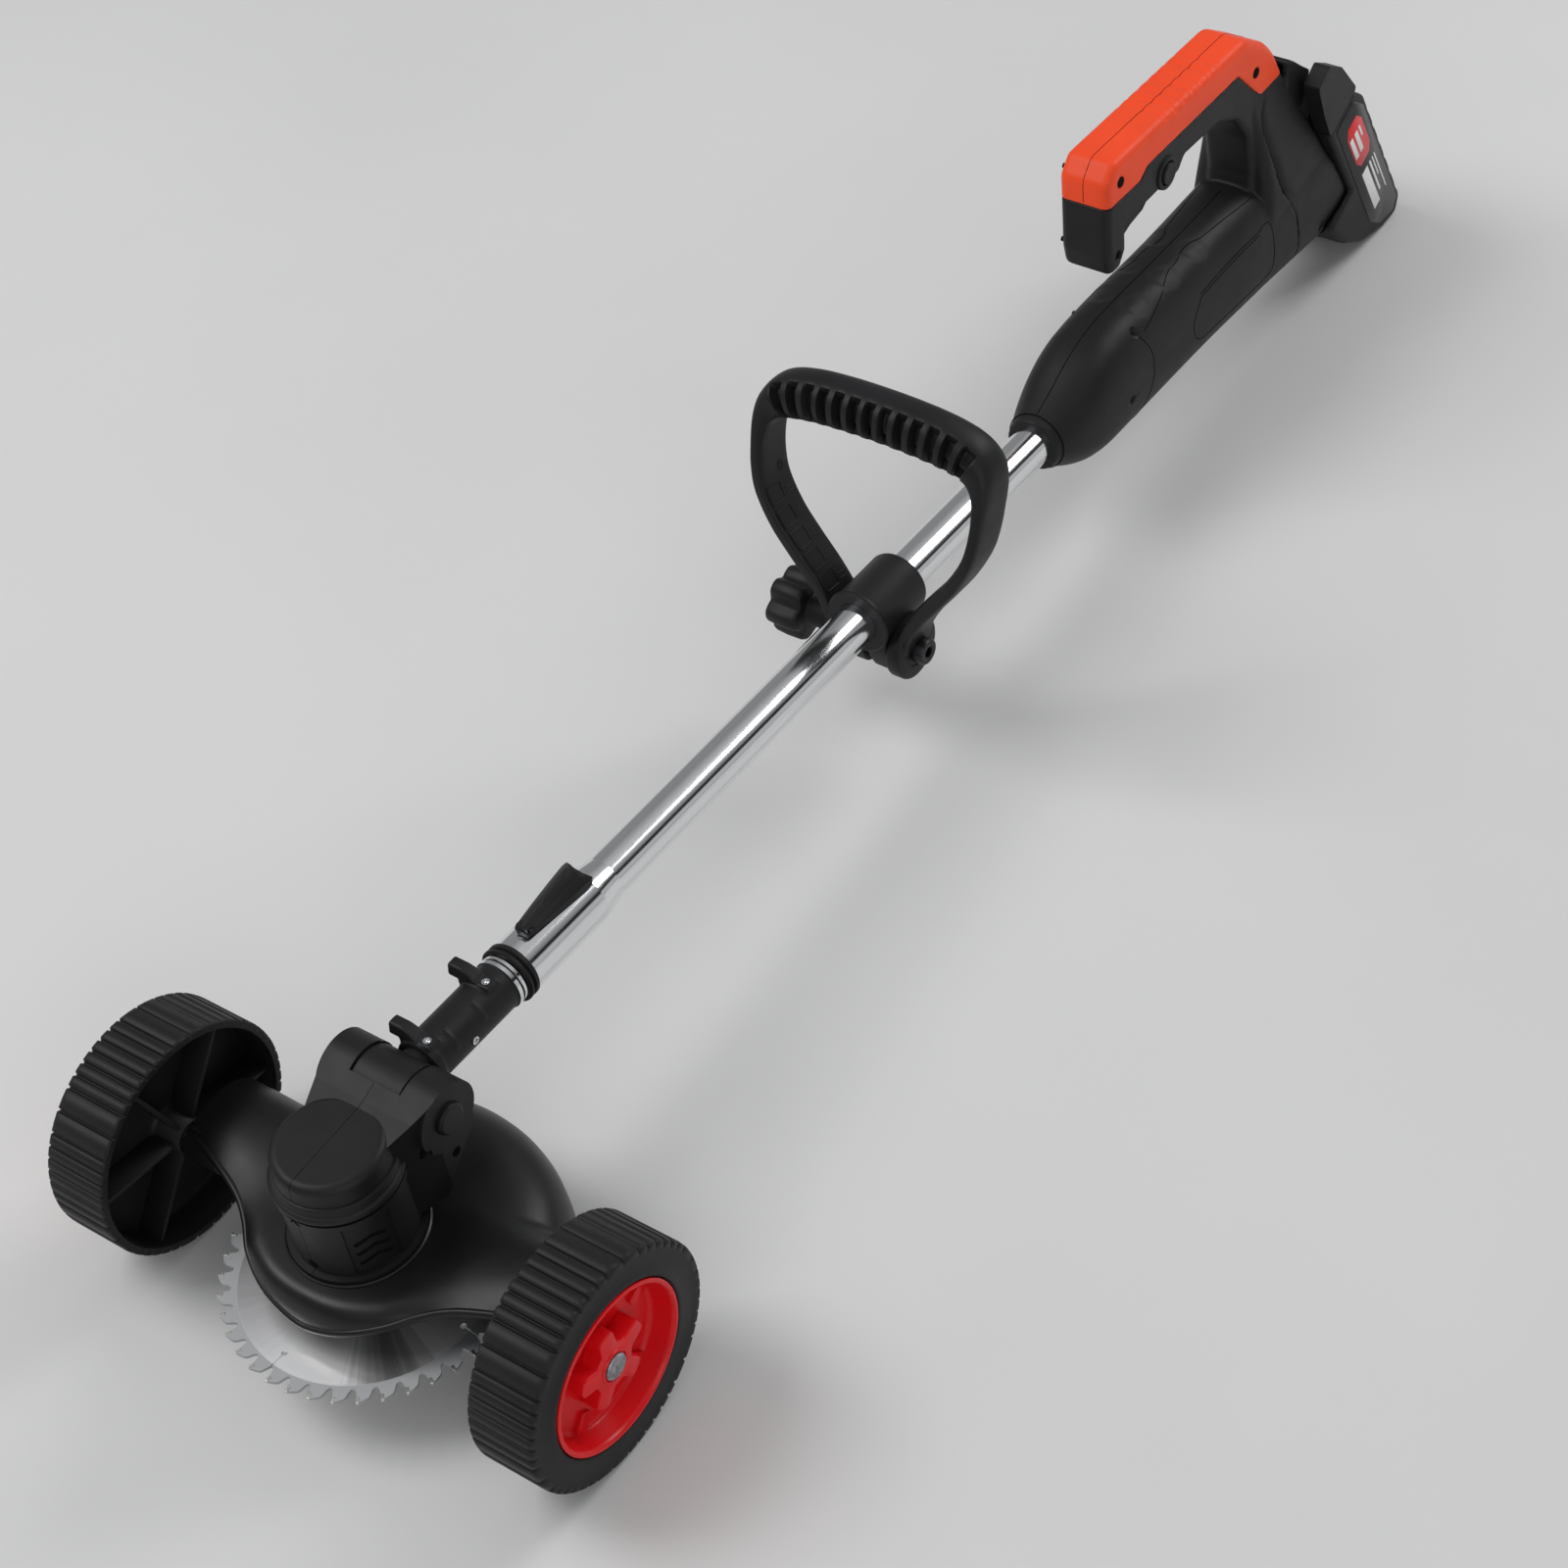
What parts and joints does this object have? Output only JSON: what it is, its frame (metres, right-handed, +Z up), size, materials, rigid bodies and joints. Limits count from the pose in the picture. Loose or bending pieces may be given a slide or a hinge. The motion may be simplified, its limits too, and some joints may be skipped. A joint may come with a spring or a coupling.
{
  "type": "lawn edger",
  "caption": "Wheeled battery lawn edger with a saw disc under a motor head, a telescopic tube, a loop handle and a rear grip housing.",
  "frame": {"origin": "On the floor midway between the wheels, under the wheel axle", "axes": "+Y along the tool from the blade towards the user, +Z up, +X along the wheel axle towards the wheel on the clamp bolt's head side"},
  "size_m": [0.3236, 1.139, 0.246],
  "materials": {
    "black_plastic": "matt moulded black, fine grain",
    "guard_plastic": "satin black, light orange peel",
    "tyre_plastic": "matt hard tread plastic",
    "red_plastic": "glossy red",
    "orange_plastic": "glossy orange cover",
    "tube_chrome": "polished plated steel tube",
    "blade_steel": "ground disc, dull toothed rim",
    "fastener_steel": "zinc plated",
    "motor_steel": "plain steel",
    "magnet": "ferrite",
    "copper_stack": "laminated stack",
    "lead_rubber": "coiled lead jacket",
    "board_green": "circuit board",
    "cell_wrap": "shrink wrap",
    "label": "printed label",
    "bushing": "nylon"
  },
  "bodies": {
    "handle": {"rear_housing_left": "black_plastic", "rear_housing_right": "black_plastic", "battery_collar_left": "black_plastic", "battery_collar_right": "black_plastic", "grip_cover_left": "orange_plastic", "grip_cover_right": "orange_plastic", "rear_housing_screws": "fastener_steel", "outer_tube": "tube_chrome", "lock_collar": "black_plastic", "lever_seat": "black_plastic", "lever_pin": "fastener_steel", "coiled_lead": "lead_rubber", "switch_body": "black_plastic", "controller_board": "board_green", "battery_terminal_block": "black_plastic", "trigger_pin": "fastener_steel", "trigger_spring": "fastener_steel"},
    "lower_tube": {"inner_tube": "tube_chrome", "neck_shell_left": "black_plastic", "neck_shell_right": "black_plastic", "neck_screws": "fastener_steel", "tilt_knuckle": "black_plastic"},
    "head": {"motor_housing_left": "black_plastic", "motor_housing_right": "black_plastic", "motor_housing_screws": "fastener_steel", "motor_can": "motor_steel", "motor_magnets": "magnet", "motor_bearings": "motor_steel", "blade_guard": "guard_plastic", "guard_screws": "fastener_steel", "tilt_pivot_bolt": "fastener_steel", "tilt_button_spring": "fastener_steel", "axle_bolts": "fastener_steel", "axle_nuts": "fastener_steel"},
    "blade_shaft": {"blade": "blade_steel", "blade_flange_inner": "fastener_steel", "blade_flange_outer": "fastener_steel", "blade_nut": "fastener_steel", "motor_spindle": "motor_steel", "motor_rotor": "copper_stack"},
    "left_wheel": {"wheel_left": "tyre_plastic", "hub_disc_left": "red_plastic", "wheel_bushing_left": "bushing"},
    "right_wheel": {"wheel_right": "tyre_plastic", "hub_disc_right": "red_plastic", "wheel_bushing_right": "bushing"},
    "tilt_button": {"tilt_release_button": "black_plastic"},
    "tube_lever": {"lock_lever": "black_plastic"},
    "clamp": {"handle_clamp": "black_plastic", "clamp_bolt": "fastener_steel"},
    "loop": {"front_handle": "black_plastic"},
    "knob": {"clamp_knob": "black_plastic"},
    "trigger_body": {"trigger": "black_plastic"},
    "lock_button": {"lock_off_button": "black_plastic"},
    "battery": {"battery_case": "black_plastic", "battery_cells": "cell_wrap", "battery_labels": "label"},
    "latch_left": {"battery_latch_left": "black_plastic"},
    "latch_right": {"battery_latch_right": "black_plastic"}
  },
  "joints": [
    {"name": "tube_telescope", "type": "slide", "parent": "handle", "child": "lower_tube", "axis": [0, -0.9973, 0.0738], "range_m": [0, 0.2]},
    {"name": "head_tilt", "type": "hinge", "parent": "lower_tube", "child": "head", "pos_m": [0, 0.0443, 0.1356], "axis": [1, 0, 0], "range_deg": [-75, 0]},
    {"name": "blade_spin", "type": "hinge", "parent": "head", "child": "blade_shaft", "pos_m": [0, -0.004, 0.043], "axis": [0, 0, 1], "continuous": true},
    {"name": "left_wheel_spin", "type": "hinge", "parent": "head", "child": "left_wheel", "pos_m": [-0.141, 0, 0.0675], "axis": [1, 0, 0], "continuous": true},
    {"name": "right_wheel_spin", "type": "hinge", "parent": "head", "child": "right_wheel", "pos_m": [0.141, 0, 0.0675], "axis": [1, 0, 0], "continuous": true},
    {"name": "tilt_button_press", "type": "slide", "parent": "head", "child": "tilt_button", "axis": [-1, 0, 0], "range_m": [0, 0.003], "stiffness_N_per_m": 300, "springref_m": -0.002, "deforming": ["tilt_button_spring"]},
    {"name": "lever_flip", "type": "hinge", "parent": "handle", "child": "tube_lever", "pos_m": [0, 0.15493, 0.14652], "axis": [1, 0, 0], "range_deg": [0, 90]},
    {"name": "clamp_slide", "type": "slide", "parent": "handle", "child": "clamp", "axis": [0, 0.9973, -0.0738], "range_m": [-0.2, 0.12]},
    {"name": "loop_tilt", "type": "hinge", "parent": "clamp", "child": "loop", "pos_m": [0, 0.47445, 0.08077], "axis": [1, 0, 0], "range_deg": [-40, 35]},
    {"name": "knob_turn", "type": "hinge", "parent": "clamp", "child": "knob", "pos_m": [0, 0.47445, 0.08077], "axis": [1, 0, 0], "range_deg": [0, 360]},
    {"name": "trigger_pull", "type": "hinge", "parent": "handle", "child": "trigger_body", "pos_m": [0, 0.77044, 0.20528], "axis": [1, 0, 0], "range_deg": [-8, 0], "stiffness_Nm_per_rad": 0.5, "springref_deg": 5.73, "deforming": ["trigger_spring"]},
    {"name": "lock_button_press", "type": "slide", "parent": "handle", "child": "lock_button", "axis": [-1, 0, 0], "range_m": [0, 0.0025], "stiffness_N_per_m": 300, "springref_m": -0.002},
    {"name": "battery_slide", "type": "slide", "parent": "handle", "child": "battery", "axis": [0, 0.4142, -0.9102], "range_m": [0, 0.13]},
    {"name": "left_latch_press", "type": "slide", "parent": "battery", "child": "latch_left", "axis": [1, 0, 0], "range_m": [0, 0.0022], "stiffness_N_per_m": 400, "springref_m": -0.001},
    {"name": "right_latch_press", "type": "slide", "parent": "battery", "child": "latch_right", "axis": [-1, 0, 0], "range_m": [0, 0.0022], "stiffness_N_per_m": 400, "springref_m": -0.001}
  ]
}
